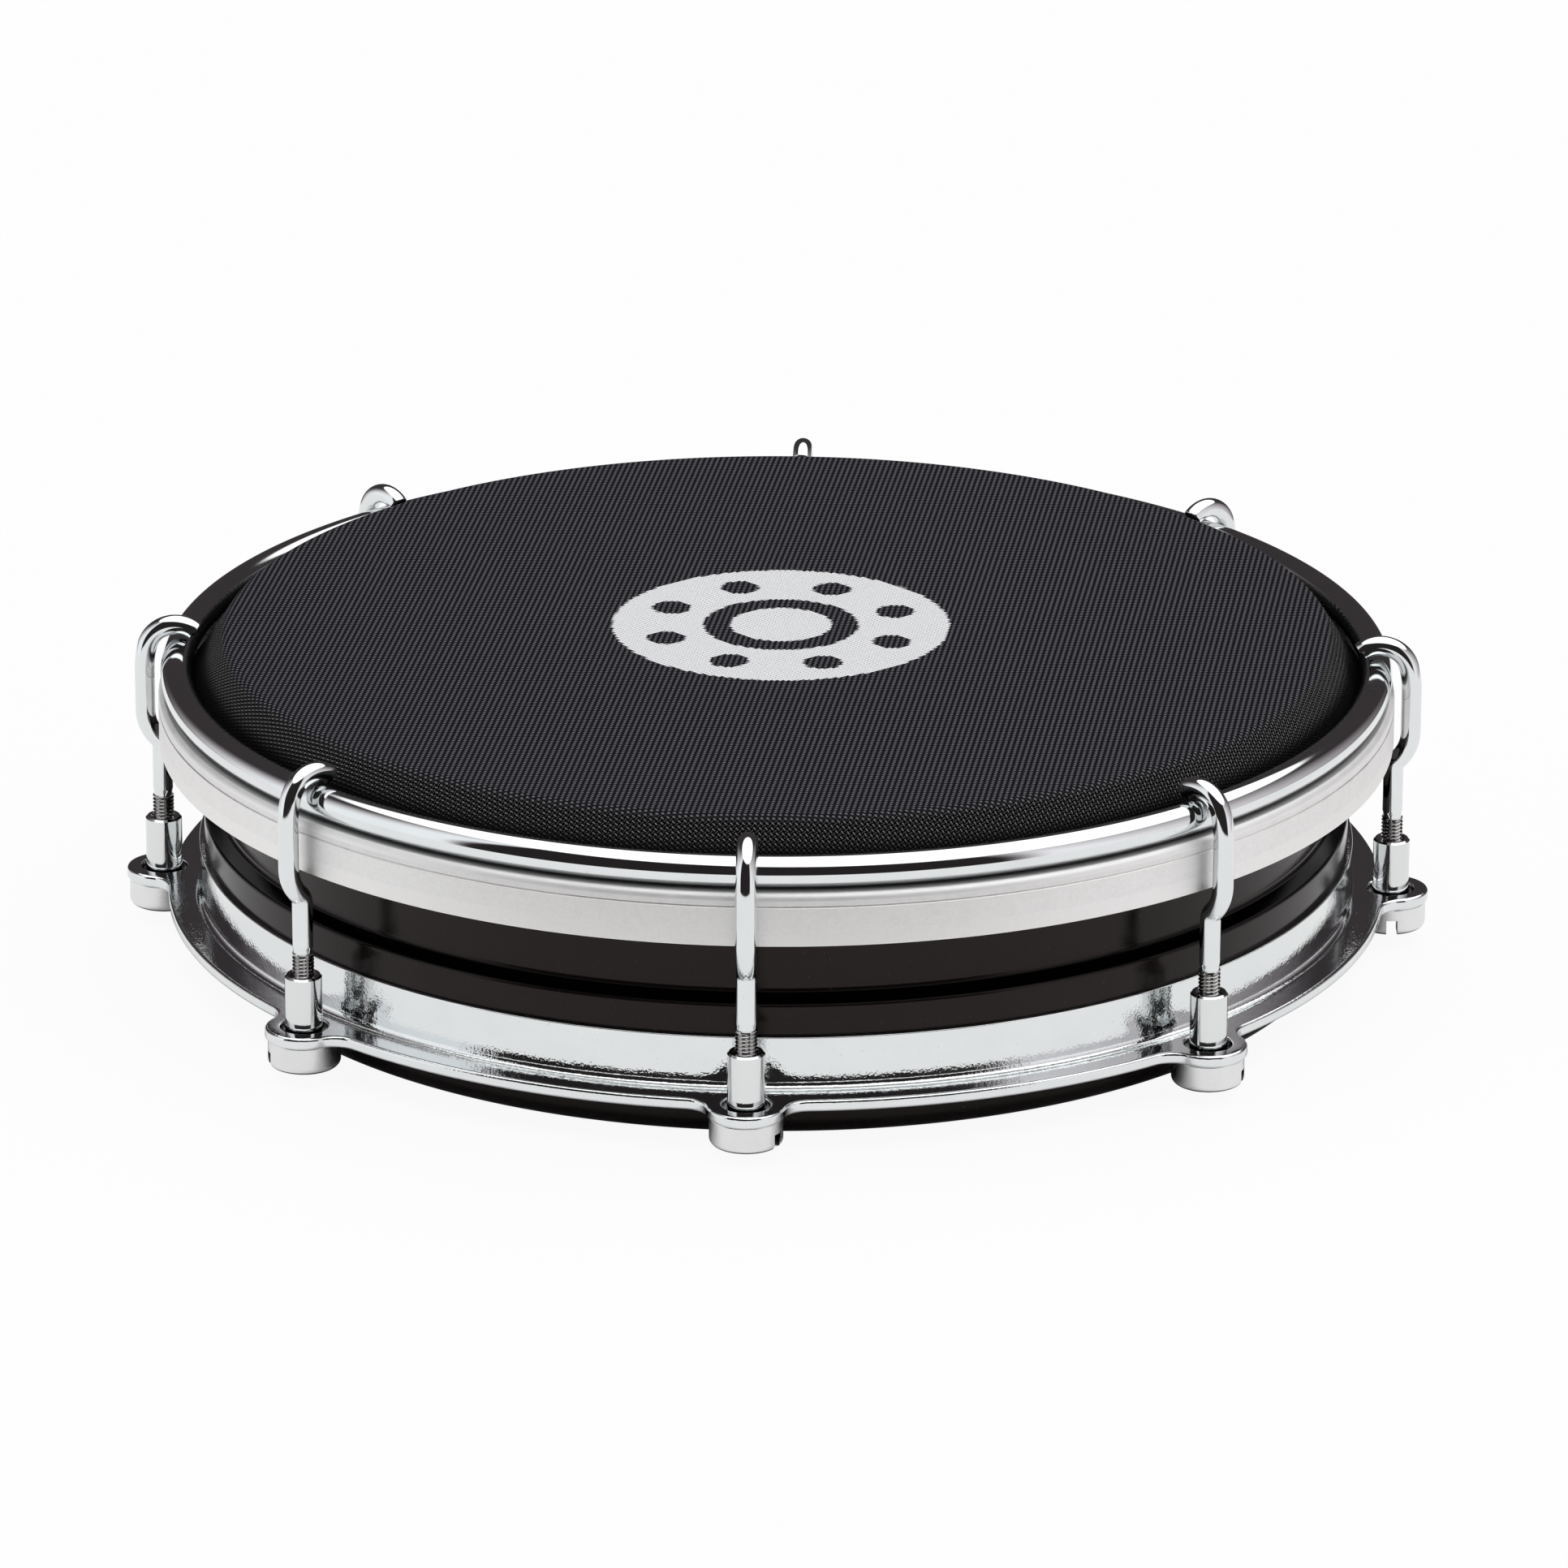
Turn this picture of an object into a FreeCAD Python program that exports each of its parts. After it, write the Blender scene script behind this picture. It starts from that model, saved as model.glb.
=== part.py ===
import FreeCAD, Part
import math
import os

# A hand drum of the small Brazilian kind: a moulded shell that stands on its open lower rim, a woven head
# in a channel hoop, and a round counter hoop that eight hooks pull down towards a flanged ring with lugs.
# Millimetres, +Z up, origin on the axis at the level of the lower rim, one lug towards -Y.
# Pieces that repeat are drawn in the XZ plane, with X as the radius, and then turned to their place.

Vector = FreeCAD.Vector
origin = Vector(0, 0, 0)
up = Vector(0, 0, 1)

# Layout
lug_count = 8
first_lug_angle = -90.0
cut_overrun = 2.0
seam_gap = 0.05
shortest_edge = 0.0001

# Shell
shell_radius = 74.7
shell_wall = 3.6
shell_height = 42.3
bearing_round = 2.5
bearing_inner_round = 0.4
spigot_step = 1.25
spigot_length = 14.3
foot_round = 2.4
foot_inner_round = 0.8
band_step = 2.3
band_height = 4.2
band_round = 0.6
band_lower_round = 0.2
ledge_rise = 1.0
ledge_round = 0.8

# Tension ring, pressed from sheet
ring_sheet = 1.6
ring_height = 8.55
ring_clearance = 0.15
ring_bend = 0.95
ring_rim_round = 0.15
flange_width = 4.3
flange_edge_round = 0.45
lug_overhang = 0.95
lug_rim = 0.35
lug_neck_round = 3.5
lug_hole_clearance = 0.65
lug_hole_round = 0.3

# Head: woven skin, aluminium channel and the resin between them
skin_thickness = 0.7
skin_gap = 0.1
collar_depth = 7.25
collar_foot = 0.77
collar_round = 1.2
hoop_room = 2.45
hoop_height = 7.2
hoop_wall = 1.3
hoop_floor = 1.5
hoop_shoulder_round = 1.2
hoop_lip_gap = 0.3
hoop_edge_round = 0.4
hoop_foot_round = 0.15
hoop_seam_drop = 1.9
hoop_seam_depth = 0.15
hoop_seam_width = 0.3
groove_width = 3.1
groove_inner_height = 4.3
resin_height = 3.0
resin_bed = 0.7

# Counter hoop of round bar
bar_radius = 2.1
bar_gap = 0.5

# Tension hooks, bent from rod with a rolled thread
rod_radius = 1.35
thread_rise = 0.1
neck_depth = 0.1
neck_length = 0.6
neck_taper = 0.4
thread_chamfer = 0.3
thread_start = 0.6
thread_showing = 3.05
shank_length = 5.9
jog_lower_bend = 1.65
jog_upper_bend = 5.5
jog_slant = 0.3
jog_overlap = 0.93
hook_room = 0.85
hook_gap = 0.15
hook_lean_angle = 38.0
hook_sweep_angle = 130.0
hook_tip_round = 0.2

# Tuning nuts
thread_clearance = 0.05
nut_head_radius = 4.75
nut_head_height = 3.75
nut_head_round = 0.9
nut_head_rim_round = 0.15
sleeve_wall = 0.95
sleeve_chamfer = 0.25
slot_width = 1.5
slot_depth = 2.2
slot_angles = [62.0, 76.0, 3.0, 20.0, -40.0, 50.0, 83.0, -72.0]

# Shell and ring: radii and levels that follow from the sizes above
shell_bore_radius = shell_radius - shell_wall
spigot_radius = shell_radius + spigot_step
band_radius = shell_radius + band_step
ring_floor = spigot_length - ring_height
ring_inner_radius = spigot_radius + ring_clearance
ring_outer_radius = ring_inner_radius + ring_sheet
flange_radius = ring_outer_radius + flange_width
lug_circle_radius = flange_radius + lug_overhang
lug_radius = nut_head_radius + lug_rim

# Head: the channel outwards from the shell, then the skin that is set in it
skin_top = shell_height + skin_gap + skin_thickness
hoop_top = skin_top - collar_depth
hoop_bottom = hoop_top - hoop_height
hoop_inner_radius = shell_radius + hoop_room
groove_inner_radius = hoop_inner_radius + hoop_wall
groove_outer_radius = groove_inner_radius + groove_width
hoop_radius = groove_outer_radius + hoop_wall
groove_floor = hoop_bottom + hoop_floor
leg_inner_radius = groove_inner_radius + seam_gap
leg_outer_radius = leg_inner_radius + skin_thickness

# Collar: from the round of the bearing edge the skin runs down a cone, to its leg just below the hoop's top
edge_centre_radius = shell_radius - bearing_round
edge_centre_level = shell_height - bearing_round
skin_inner_offset = bearing_round + skin_gap
skin_outer_offset = skin_inner_offset + skin_thickness
collar_run = leg_outer_radius - edge_centre_radius
collar_fall = hoop_top - collar_foot - edge_centre_level
collar_length = math.hypot(collar_run, collar_fall)
collar_slope = math.atan2(collar_fall, collar_run) + math.acos(skin_outer_offset / collar_length)

# Counter hoop: it lies on the channel and clears the collar
bar_level = hoop_top + seam_gap + bar_radius
bar_drop = edge_centre_level - bar_level
bar_reach = skin_outer_offset + bar_gap + bar_radius + bar_drop * math.sin(collar_slope)
bar_circle_radius = edge_centre_radius + bar_reach / math.cos(collar_slope)

# Hooks and nuts: the upright passes outside the counter hoop, and the jog ends just above the channel's foot
thread_radius = rod_radius + thread_rise
neck_radius = rod_radius - neck_depth
hook_bend = bar_radius + hook_room + rod_radius
arc_offset = hook_room - hook_gap
arc_centre_radius = bar_circle_radius + arc_offset * math.sin(math.radians(hook_lean_angle))
arc_centre_level = bar_level - arc_offset * math.cos(math.radians(hook_lean_angle))
jog_offset = arc_centre_radius + hook_bend - lug_circle_radius
jog_bends = jog_lower_bend + jog_upper_bend
jog_reach = math.hypot(jog_bends, jog_slant)
jog_turn = math.acos((jog_bends - abs(jog_offset)) / jog_reach) - math.atan2(jog_slant, jog_bends)
jog_rise = jog_bends * math.sin(jog_turn) + jog_slant * math.cos(jog_turn)
jog_top = hoop_bottom + jog_overlap
jog_bottom = jog_top - jog_rise
neck_top = jog_bottom - shank_length - neck_taper
thread_top = neck_top - neck_length
bore_radius = thread_radius + thread_clearance
sleeve_radius = bore_radius + sleeve_wall
sleeve_top = thread_top - thread_showing
lug_hole_radius = sleeve_radius + lug_hole_clearance


def rounded_outline(corners):
    """Wire in the XZ plane through corners (x, z, round): each corner with a round becomes a tangent arc."""
    joints = []
    count = len(corners)
    for index, (x, z, radius) in enumerate(corners):
        point = Vector(x, 0, z)
        before = corners[index - 1]
        after = corners[(index + 1) % count]
        to_before = (Vector(before[0], 0, before[1]) - point).normalize()
        to_after = (Vector(after[0], 0, after[1]) - point).normalize()
        if radius == 0:
            joints.append((point, None, point))
            continue
        half_turn = to_before.getAngle(to_after) / 2
        reach = radius / math.tan(half_turn)
        middle_way = (to_before + to_after).normalize()
        centre = point + middle_way * (radius / math.sin(half_turn))
        joints.append((point + to_before * reach, centre - middle_way * radius, point + to_after * reach))
    edges = []
    for index, (start, middle, end) in enumerate(joints):
        if middle is not None:
            edges.append(Part.Arc(start, middle, end).toShape())
        following = joints[(index + 1) % count][0]
        if end.distanceToPoint(following) > shortest_edge:
            edges.append(Part.LineSegment(end, following).toShape())
    return Part.Wire(edges)


def turned(corners):
    """Solid of revolution about Z with the given section."""
    return Part.Face(rounded_outline(corners)).revolve(origin, up, 360)


def at_lug(shape, index):
    """Copy of a shape drawn at X = radius, turned about Z to lug number index, which is 0 at the front."""
    copy = shape.copy()
    copy.rotate(origin, up, first_lug_angle + index * 360 / lug_count)
    return copy


def make_shell():
    shoulder = spigot_length
    band_top = shoulder + band_height
    ledge_top = band_top + ledge_rise
    return turned([
        (shell_bore_radius, 0, foot_inner_round),
        (spigot_radius, 0, foot_round),
        (spigot_radius, shoulder, 0),
        (band_radius, shoulder, band_lower_round),
        (band_radius, band_top, band_round),
        (shell_radius, ledge_top, ledge_round),
        (shell_radius, shell_height, bearing_round),
        (shell_bore_radius, shell_height, bearing_inner_round),
    ])


def flange_outline():
    """Outer edge of the flange: arcs of the flange circle and of the lug ends, joined by hollow arcs."""
    hollow_circle = flange_radius + lug_neck_round
    lug_reach = lug_radius + lug_neck_round
    squares = hollow_circle ** 2 + lug_circle_radius ** 2 - lug_reach ** 2
    spread = math.acos(squares / (2 * hollow_circle * lug_circle_radius))
    step = 2 * math.pi / lug_count
    edges = []
    for index in range(lug_count):
        middle = math.radians(first_lug_angle) + index * step
        lug_centre = on_circle(lug_circle_radius, middle)
        lug_end = on_circle(lug_circle_radius + lug_radius, middle)
        contacts = []
        hollows = []
        for side in (-1, 1):
            hollow_centre = on_circle(hollow_circle, middle + side * spread)
            on_flange = on_circle(flange_radius, middle + side * spread)
            to_lug = (lug_centre - hollow_centre).normalize()
            to_flange = (on_flange - hollow_centre).normalize()
            on_lug = hollow_centre + to_lug * lug_neck_round
            half_way = hollow_centre + (to_lug + to_flange).normalize() * lug_neck_round
            contacts.append((on_flange, on_lug))
            hollows.append(half_way)
        next_flange = on_circle(flange_radius, middle + step - spread)
        flange_middle = on_circle(flange_radius, middle + step / 2)
        edges.append(Part.Arc(contacts[0][0], hollows[0], contacts[0][1]).toShape())
        edges.append(Part.Arc(contacts[0][1], lug_end, contacts[1][1]).toShape())
        edges.append(Part.Arc(contacts[1][1], hollows[1], contacts[1][0]).toShape())
        edges.append(Part.Arc(contacts[1][0], flange_middle, next_flange).toShape())
    return Part.Wire(edges)


def on_circle(radius, angle):
    return Vector(radius * math.cos(angle), radius * math.sin(angle), 0)


def is_upper_hole_rim(edge):
    """Whether an edge of the flat flange plate is the upper rim of a lug's hole."""
    at_top = edge.BoundBox.ZMin > ring_sheet - seam_gap
    round_the_hole = edge.BoundBox.DiagonalLength < 2 * math.sqrt(2) * lug_hole_radius + seam_gap
    return at_top and edge.isClosed() and round_the_hole


def make_tension_ring():
    flange_top = ring_floor + ring_sheet
    plate_inner_radius = ring_outer_radius + ring_bend
    plate = Part.Face(flange_outline()).extrude(Vector(0, 0, ring_sheet))
    rims = [edge for edge in plate.Edges if edge.BoundBox.ZLength < seam_gap]
    plate = plate.makeFillet(flange_edge_round, rims)
    cut_length = ring_sheet + 2 * cut_overrun
    lug_hole = Part.makeCylinder(lug_hole_radius, cut_length, Vector(lug_circle_radius, 0, -cut_overrun))
    plate = plate.cut([at_lug(lug_hole, index) for index in range(lug_count)])
    hole_rims = [edge for edge in plate.Edges if is_upper_hole_rim(edge)]
    plate = plate.makeFillet(lug_hole_round, hole_rims)
    middle_hole = Part.makeCylinder(plate_inner_radius, cut_length, Vector(0, 0, -cut_overrun))
    plate = plate.cut(middle_hole)
    plate.translate(Vector(0, 0, ring_floor))
    wall = turned([
        (ring_inner_radius, spigot_length, ring_rim_round),
        (ring_outer_radius, spigot_length, ring_rim_round),
        (ring_outer_radius, flange_top, ring_bend),
        (plate_inner_radius, flange_top, 0),
        (plate_inner_radius, ring_floor, 0),
        (ring_inner_radius, ring_floor, ring_bend + ring_sheet),
    ])
    return wall.fuse(plate).removeSplitter()


def make_head_hoop():
    lip_radius = leg_outer_radius + hoop_lip_gap
    lip_floor = hoop_top - hoop_wall
    inner_top = hoop_bottom + groove_inner_height
    seam_level = hoop_top - hoop_seam_drop
    return turned([
        (hoop_inner_radius, hoop_bottom, hoop_edge_round),
        (hoop_radius, hoop_bottom, hoop_foot_round),
        (hoop_radius, seam_level - hoop_seam_width / 2, 0),
        (hoop_radius - hoop_seam_depth, seam_level, 0),
        (hoop_radius, seam_level + hoop_seam_width / 2, 0),
        (hoop_radius, hoop_top, hoop_shoulder_round),
        (lip_radius, hoop_top, hoop_edge_round),
        (lip_radius, lip_floor, hoop_edge_round),
        (groove_outer_radius, lip_floor, hoop_edge_round),
        (groove_outer_radius, groove_floor, 0),
        (groove_inner_radius, groove_floor, 0),
        (groove_inner_radius, inner_top, hoop_edge_round),
        (hoop_inner_radius, inner_top, hoop_edge_round),
    ])


def make_drum_head():
    """Skin of even thickness: flat on top, round the bearing edge, down the collar and into the channel."""
    leg_bottom = groove_floor + resin_bed

    def shoulder_radius(offset):
        return edge_centre_radius + offset * (1 - math.sin(collar_slope)) / math.cos(collar_slope)

    def collar_level(radius, offset):
        outwards = (radius - edge_centre_radius) * math.cos(collar_slope)
        return edge_centre_level + (offset - outwards) / math.sin(collar_slope)

    return turned([
        (0, skin_top, 0),
        (shoulder_radius(skin_outer_offset), skin_top, skin_outer_offset),
        (leg_outer_radius, collar_level(leg_outer_radius, skin_outer_offset), collar_round),
        (leg_outer_radius, leg_bottom, 0),
        (leg_inner_radius, leg_bottom, 0),
        (leg_inner_radius, collar_level(leg_inner_radius, skin_inner_offset), collar_round + skin_thickness),
        (shoulder_radius(skin_inner_offset), skin_top - skin_thickness, skin_inner_offset),
        (0, skin_top - skin_thickness, 0),
    ])


def make_head_resin():
    """Resin in the channel: a bed under the skin's edge and a wall outside it."""
    skin_face = leg_outer_radius + seam_gap
    return turned([
        (leg_inner_radius, groove_floor, 0),
        (groove_outer_radius - seam_gap, groove_floor, 0),
        (groove_outer_radius - seam_gap, groove_floor + resin_height, 0),
        (skin_face, groove_floor + resin_height, 0),
        (skin_face, groove_floor + resin_bed, 0),
        (leg_inner_radius, groove_floor + resin_bed, 0),
    ])


def make_counter_hoop():
    return Part.makeTorus(bar_circle_radius, bar_radius, Vector(0, 0, bar_level))


def bent_path(start, heading, steps):
    """Wire in the XZ plane. A step is ("run", length) or ("bend", radius, angle), positive to the left."""
    edges = []
    point = start
    for step in steps:
        way = Vector(math.cos(heading), 0, math.sin(heading))
        if step[0] == "run":
            end = point + way * step[1]
            edges.append(Part.LineSegment(point, end).toShape())
        else:
            side = math.copysign(1, step[2])
            centre = point + Vector(-way.z, 0, way.x) * (side * step[1])
            from_centre = point - centre
            half = turned_in_plane(from_centre, step[2] / 2)
            whole = turned_in_plane(from_centre, step[2])
            end = centre + whole
            edges.append(Part.Arc(point, centre + half, end).toShape())
            heading += math.radians(step[2])
        point = end
    return Part.Wire(edges)


def turned_in_plane(vector, degrees):
    angle = math.radians(degrees)
    return Vector(vector.x * math.cos(angle) - vector.z * math.sin(angle), 0,
                  vector.x * math.sin(angle) + vector.z * math.cos(angle))


def make_hook():
    """Hook at X = lug circle: threaded end, neck, jog outwards past the channel, arc over the hoop."""
    thread_bottom = ring_floor + thread_start
    shank_bottom = neck_top + neck_taper
    jog_angle = math.degrees(math.copysign(jog_turn, jog_offset))
    path = bent_path(Vector(lug_circle_radius, 0, shank_bottom), math.radians(90), [
        ("run", shank_length),
        ("bend", jog_lower_bend, -jog_angle),
        ("run", jog_slant),
        ("bend", jog_upper_bend, jog_angle),
        ("run", arc_centre_level - jog_top),
        ("bend", hook_bend, hook_sweep_angle),
    ])
    section = Part.Wire([Part.makeCircle(rod_radius, Vector(lug_circle_radius, 0, shank_bottom), up)])
    rod = path.makePipeShell([section], True, False)
    tip = min(rod.Edges, key=lambda edge: edge.CenterOfMass.x)
    rod = rod.makeFillet(hook_tip_round, [tip])

    threaded = turned([
        (0, thread_bottom, 0),
        (thread_radius - thread_chamfer, thread_bottom, 0),
        (thread_radius, thread_bottom + thread_chamfer, 0),
        (thread_radius, thread_top, 0),
        (neck_radius, thread_top, 0),
        (neck_radius, neck_top, 0),
        (rod_radius, shank_bottom, 0),
        (0, shank_bottom, 0),
    ])
    threaded.translate(Vector(lug_circle_radius, 0, 0))
    return rod.fuse(threaded)


def make_nut():
    """Nut at X = lug circle: slotted head under the lug, sleeve up through its hole, bored for the rod."""
    head_bottom = ring_floor - nut_head_height
    body = turned([
        (bore_radius, head_bottom, 0),
        (nut_head_radius, head_bottom, nut_head_round),
        (nut_head_radius, ring_floor, nut_head_rim_round),
        (sleeve_radius, ring_floor, 0),
        (sleeve_radius, sleeve_top - sleeve_chamfer, 0),
        (sleeve_radius - sleeve_chamfer, sleeve_top, 0),
        (bore_radius + sleeve_chamfer, sleeve_top, 0),
        (bore_radius, sleeve_top - sleeve_chamfer, 0),
    ])
    slot_length = 2 * (nut_head_radius + cut_overrun)
    slot = Part.makeBox(slot_length, slot_width, slot_depth + cut_overrun,
                        Vector(-slot_length / 2, -slot_width / 2, head_bottom - cut_overrun))
    return body, slot


def cut_nut(body, slot, index):
    """Nut number index, with its slot left at the angle where tuning stopped, counted from the front."""
    own_slot = slot.copy()
    own_slot.rotate(origin, up, slot_angles[index % len(slot_angles)] - index * 360 / lug_count)
    nut = body.cut(own_slot)
    nut.translate(Vector(lug_circle_radius, 0, 0))
    return at_lug(nut, index)


def main():
    os.makedirs("parts", exist_ok=True)
    nodes = {
        "shell": make_shell(),
        "tension_ring": make_tension_ring(),
        "head_hoop": make_head_hoop(),
        "head_resin": make_head_resin(),
        "drum_head": make_drum_head(),
        "counter_hoop": make_counter_hoop(),
    }
    hook = make_hook()
    nut_body, nut_slot = make_nut()
    for index in range(lug_count):
        nodes[f"tension_hook_{index + 1}"] = at_lug(hook, index)
        nodes[f"tuning_nut_{index + 1}"] = cut_nut(nut_body, nut_slot, index)
    for name, shape in nodes.items():
        shape.exportStep(f"parts/{name}.step")
        print(f"{name}: valid {shape.isValid()}, solids {len(shape.Solids)}, volume {shape.Volume:.1f}")


main()
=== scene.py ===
import math

import bpy
from mathutils import Matrix, Vector
from mathutils.geometry import tessellate_polygon


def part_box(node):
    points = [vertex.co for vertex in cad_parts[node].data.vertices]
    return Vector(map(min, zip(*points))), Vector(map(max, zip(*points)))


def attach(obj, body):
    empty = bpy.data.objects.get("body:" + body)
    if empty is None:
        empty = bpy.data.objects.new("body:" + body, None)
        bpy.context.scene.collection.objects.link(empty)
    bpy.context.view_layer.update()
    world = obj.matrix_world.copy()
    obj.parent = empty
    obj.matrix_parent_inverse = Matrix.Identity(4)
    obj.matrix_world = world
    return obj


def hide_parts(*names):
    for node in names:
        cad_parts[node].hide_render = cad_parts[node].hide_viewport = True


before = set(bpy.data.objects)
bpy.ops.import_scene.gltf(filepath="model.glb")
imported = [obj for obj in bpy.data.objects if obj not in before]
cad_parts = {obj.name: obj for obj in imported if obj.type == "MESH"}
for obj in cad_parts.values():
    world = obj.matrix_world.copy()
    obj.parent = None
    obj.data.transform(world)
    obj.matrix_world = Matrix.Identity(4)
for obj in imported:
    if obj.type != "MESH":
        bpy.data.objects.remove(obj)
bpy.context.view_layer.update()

# Lengths below are in millimetres, and a mesh is scaled to metres when it is made
MM = 0.001


def box_of(node):
    low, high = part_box(node)
    return low / MM, high / MM


# Sizes read from the parts imported from model.glb
lug_count = sum(name.startswith("tension_hook_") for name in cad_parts)
first_lug_angle = math.radians(-90)
shell_low, shell_high = box_of("shell")
head_low, head_high = box_of("drum_head")
hoop_low, hoop_high = box_of("head_hoop")
bar_low, bar_high = box_of("counter_hoop")
ring_low, ring_high = box_of("tension_ring")
hook_low, hook_high = box_of("tension_hook_1")
nut_low = box_of("tuning_nut_1")[0]

# Shell
shell_radius = 74.7
shell_wall = 3.6
bearing_round = 2.5
bearing_inner_round = 0.4
spigot_radius = 75.95
foot_round = 2.4
foot_inner_round = 0.8
band_radius = shell_high.x
band_height = 4.2
band_round = 0.6
band_lower_round = 0.2
ledge_rise = 1.0
ledge_round = 0.8

# Tension ring
ring_sheet = 1.6
ring_clearance = 0.15
ring_bend = 0.95
ring_rim_round = 0.15
orange_peel = 0.02
flange_radius = 82.0
flange_edge_round = 0.45
lug_radius = 5.1
lug_neck_round = 3.5
lug_hole_radius = 3.1
lug_hole_round = 0.3
lug_circle_radius = -ring_low.y - lug_radius

# Head: the skin, and the channel hoop that it is set in
skin_thickness = 0.7
skin_gap = 0.1
shoulder_round = 2.0
collar_slope = math.radians(33.0)
collar_round = 1.2
skin_leg_radius = 79.2
hoop_radius = hoop_high.x
hoop_inner_radius = 77.15
hoop_wall = 1.3
hoop_floor = 1.5
hoop_lip_radius = 79.5
hoop_shoulder_round = 1.2
hoop_edge_round = 0.4
hoop_foot_round = 0.15
hoop_seam_drop = 1.9
hoop_seam_depth = 0.15
hoop_seam_width = 0.3
hoop_line_rise = 2.1
hoop_line_depth = 0.025
hoop_line_width = 0.2
groove_inner_height = 4.3

# Nearer to a nut's axis than this, only the walls of the slot are seen in the nut's head
nut_head_inside = 4.55

# Hooks, in the plane of their lug: jog, upright and arc over the counter hoop
rod_radius = 1.35
thread_radius = 1.45
thread_depth = 0.28
thread_pitch = 0.5
thread_top = 17.5
thread_end_share = 0.3
neck_radius = 1.25
neck_rows = ((0.08, neck_radius), (0.55, neck_radius), (0.75, rod_radius - 0.05))
shank_bottom = 18.53
shank_length = 5.9
jog_lower_bend = 1.65
jog_upper_bend = 5.5
jog_slant = 0.3
hook_bend = 4.3
hook_sweep = math.radians(130)
hook_lead_bend = 14.0
hook_lead_sweep = math.radians(13)
hook_tip_round = 0.2

# The head's cloth, with threads at about 45 degrees to the picture's axes, and the print on it
thread_one_pitch = 0.537
thread_one_angle = math.radians(46.1)
thread_two_pitch = 0.479
thread_two_angle = math.radians(-48.8)
print_radius = 22.6
print_right = 0.55
print_back = 0.5
print_ring_radius = 8.6
print_ring_width = 3.6
print_dot_circle = 16.3
print_dot_radius = 2.6
print_edge = 0.06

# The photograph's camera
photo_size = 1932
focal_pixels = 12107
sensor_width = 36
camera_distance = 1331.25
camera_azimuth = math.radians(2.567)
camera_elevation = math.radians(20.796)
camera_roll = math.radians(0.165)
aim_right = 1.11
aim_up = 19.29

# The studio: directions in degrees round the drum, with 0 to the front and 90 to the right
left_light_front = (-60, -54)
left_light_back = (-155, -92)
right_light_front = (43, 54)
right_light_back = (66, 155)
lights_narrow_upwards = 55
ceiling_lean = (0.152, 0.096, 1.0)
ceiling_edge = (0.68, 0.73)
side_walls = (60, 120)

# The floor: a lit table in the reflections, from beside the drum to its own edge, and the plane's half width
table_start = (83, 90)
table_end = (250, 300)
floor_half = 4000

# Tints
cool = (0.98, 1.0, 1.0)
warm = (1, 0.985, 0.975)

# Fineness of the meshes
turn_steps = 384
arc_step = math.radians(6)
sharp_angle = math.radians(35)
skin_upper_rings = 36
skin_lower_rings = 12
bar_sides = 48
bar_steps = 512
edge_steps = 6
flange_steps = 36
lug_steps = 48
lug_neck_steps = 14
lug_hole_steps = 64
rod_sides = 32
rod_bend_step = math.radians(4)
thread_rows_per_turn = 7


def on_circle(radius, angle):
    return Vector((radius * math.cos(angle), radius * math.sin(angle)))


def at_lug(index):
    return first_lug_angle + index * 2 * math.pi / lug_count


def rounded_section(corners):
    """Points (radius, level) through corners (radius, level, round), with each round as an arc."""
    points = []
    count = len(corners)
    for index, (x, z, radius) in enumerate(corners):
        point = Vector((x, z))
        if radius == 0:
            points.append(point)
            continue
        to_before = (Vector(corners[index - 1][:2]) - point).normalized()
        to_after = (Vector(corners[(index + 1) % count][:2]) - point).normalized()
        half_turn = to_before.angle(to_after) / 2
        centre = point + (to_before + to_after).normalized() * (radius / math.sin(half_turn))
        start = point + to_before * (radius / math.tan(half_turn)) - centre
        end = point + to_after * (radius / math.tan(half_turn)) - centre
        sweep = start.angle_signed(end)
        steps = max(3, round(abs(sweep) / arc_step))
        for step in range(steps + 1):
            points.append(centre + Matrix.Rotation(-sweep * step / steps, 2) @ start)
    return points


def new_object(name, vertices, faces, material, slot, body):
    """A smooth mesh piece that rides on a body; only its real corners stay sharp."""
    mesh = bpy.data.meshes.new(name)
    mesh.from_pydata([Vector(vertex) * MM for vertex in vertices], [], faces)
    mesh.validate()
    mesh.polygons.foreach_set("use_smooth", [True] * len(mesh.polygons))
    mesh.set_sharp_from_angle(angle=sharp_angle)
    mesh.materials.append(material)
    made = bpy.data.objects.new(name, mesh)
    bpy.context.scene.collection.objects.link(made)
    even = made.modifiers.new("even_shading", "WEIGHTED_NORMAL")
    even.keep_sharp = True
    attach(made, body)
    return made


def turned(section, steps=turn_steps):
    """Vertices and faces of a closed section (radius, level) turned about the drum's axis."""
    vertices = []
    faces = []
    count = len(section)
    for step in range(steps):
        angle = 2 * math.pi * step / steps
        vertices += [(p[0] * math.cos(angle), p[0] * math.sin(angle), p[1]) for p in section]
        here = step * count
        there = (step + 1) % steps * count
        for index in range(count):
            after = (index + 1) % count
            faces.append((here + index, there + index, there + after, here + after))
    return vertices, faces


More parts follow.
